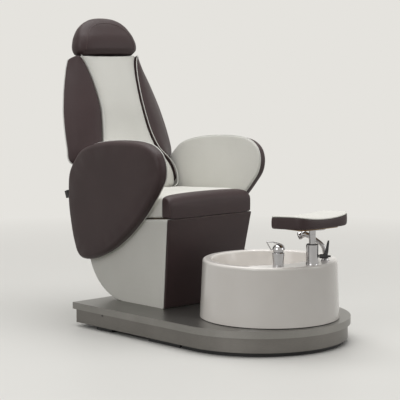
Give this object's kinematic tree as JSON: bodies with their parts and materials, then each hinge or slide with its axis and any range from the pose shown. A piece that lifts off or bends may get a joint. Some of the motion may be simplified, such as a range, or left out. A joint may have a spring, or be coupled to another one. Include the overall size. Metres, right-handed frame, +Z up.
{
  "type": "pedicure spa chair",
  "caption": "Upholstered reclining salon chair with round foot tub, footrest, mixer and hand shower on a round-nosed steel platform.",
  "frame": {"origin": "on the floor under the middle of the whole chair's bounding box", "axes": "+Z up, -Y the way the occupant faces, +X to the occupant's left, +Y towards the backrest"},
  "size_m": [0.811, 1.5088, 1.3968],
  "materials": {
    "steel": "brushed",
    "gelcoat": "gloss",
    "white_shell": "satin",
    "white_leather": "grained",
    "brown_leather": "grained",
    "chrome": "polished",
    "black_plastic": "satin",
    "rubber_seal": "matte",
    "plywood": "raw"
  },
  "bodies": {
    "base": {"platform_plate": "steel", "platform_skirt": "steel", "chassis_rails": "steel", "cross_members": "steel", "plinth_nose": "black_plastic", "plinth_sides": "black_plastic", "rear_feet": "black_plastic", "tub": "gelcoat", "tub_seal": "rubber_seal", "drain_flange": "chrome", "drain_tail": "black_plastic", "mixer_body": "chrome", "mixer_nut": "steel", "shower_holder": "chrome", "foot_socket": "chrome", "socket_nut": "steel", "guide_collar": "black_plastic", "clamp_stud": "steel", "pedestal_shell": "white_leather", "front_panel": "brown_leather", "side_plate_right": "steel", "side_plate_left": "steel", "tie_tubes": "steel", "seat_board": "plywood", "seat_cushion": "white_leather", "seat_front": "brown_leather", "recline_shaft": "steel", "gas_cylinder": "black_plastic", "armrest_right": "brown_leather", "armrest_pad_right": "white_leather", "armrest_left": "brown_leather", "armrest_pad_left": "white_leather", "armrest_bolts": "steel"},
    "drain_plug_body": {"drain_plug": "chrome"},
    "mixer_core": {"mixer_cartridge": "chrome"},
    "mixer_handle": {"mixer_lever": "chrome"},
    "shower": {"hand_shower": "chrome", "spray_face": "black_plastic"},
    "foot_column": {"height_tube": "chrome"},
    "foot_pad": {"swivel_hub": "chrome", "pad_board": "plywood", "footrest_band": "brown_leather", "footrest_top": "white_leather"},
    "column_clamp": {"clamp_lever": "black_plastic"},
    "back": {"hinge_bushes": "black_plastic", "back_frame": "steel", "back_roll": "white_shell", "back_shell": "white_shell", "back_board": "black_plastic", "back_pad": "white_leather", "bolster_right": "brown_leather", "bolster_left": "brown_leather", "lever_bracket": "steel", "post_guides": "black_plastic"},
    "release": {"release_lever": "black_plastic"},
    "headrest": {"headrest_posts": "chrome", "headrest_pillow": "brown_leather"},
    "spring_rod": {"gas_rod": "chrome"}
  },
  "joints": [
    {"name": "back_recline", "type": "hinge", "parent": "base", "child": "back", "pos_m": [0, 0.47763, 0.505], "axis": [-1, 0, 0], "range_deg": [0, 35]},
    {"name": "headrest_height", "type": "slide", "parent": "back", "child": "headrest", "axis": [0, 0.342, 0.9397], "range_m": [0, 0.06]},
    {"name": "release_lift", "type": "hinge", "parent": "back", "child": "release", "pos_m": [-0.2, 0.5631, 0.59947], "axis": [1, 0, 0], "range_deg": [0, 25], "stiffness_Nm_per_rad": 1.2, "springref_deg": -17.19},
    {"name": "spring_rod_slide", "type": "slide", "parent": "base", "child": "spring_rod", "axis": [0, -1, 0], "range_m": [0, 0.0485]},
    {"name": "foot_height", "type": "slide", "parent": "base", "child": "foot_column", "axis": [0, 0, 1], "range_m": [-0.02, 0.06]},
    {"name": "pad_swivel", "type": "hinge", "parent": "foot_column", "child": "foot_pad", "pos_m": [0, -0.67187, 0.5], "axis": [0, 0, 1], "range_deg": [-90, 90]},
    {"name": "clamp_turn", "type": "hinge", "parent": "base", "child": "column_clamp", "pos_m": [0, -0.67187, 0.3955], "axis": [0.7071, -0.7071, 0], "range_deg": [-90, 60]},
    {"name": "mixer_turn", "type": "hinge", "parent": "base", "child": "mixer_core", "pos_m": [-0.14677, -0.61726, 0.43], "axis": [0, 0, 1], "range_deg": [-50, 50]},
    {"name": "mixer_lift", "type": "hinge", "parent": "mixer_core", "child": "mixer_handle", "pos_m": [-0.14677, -0.61726, 0.43], "axis": [0.7071, 0.7071, 0], "range_deg": [0, 18]},
    {"name": "shower_lift", "type": "slide", "parent": "base", "child": "shower", "axis": [0, 0, 1], "range_m": [0, 0.018]},
    {"name": "plug_lift", "type": "slide", "parent": "base", "child": "drain_plug_body", "axis": [0, 0, 1], "range_m": [0, 0.008]}
  ],
  "couplings": [
    {"joint": "spring_rod_slide", "follows": "back_recline", "m_per_rad": 0.07876}
  ]
}
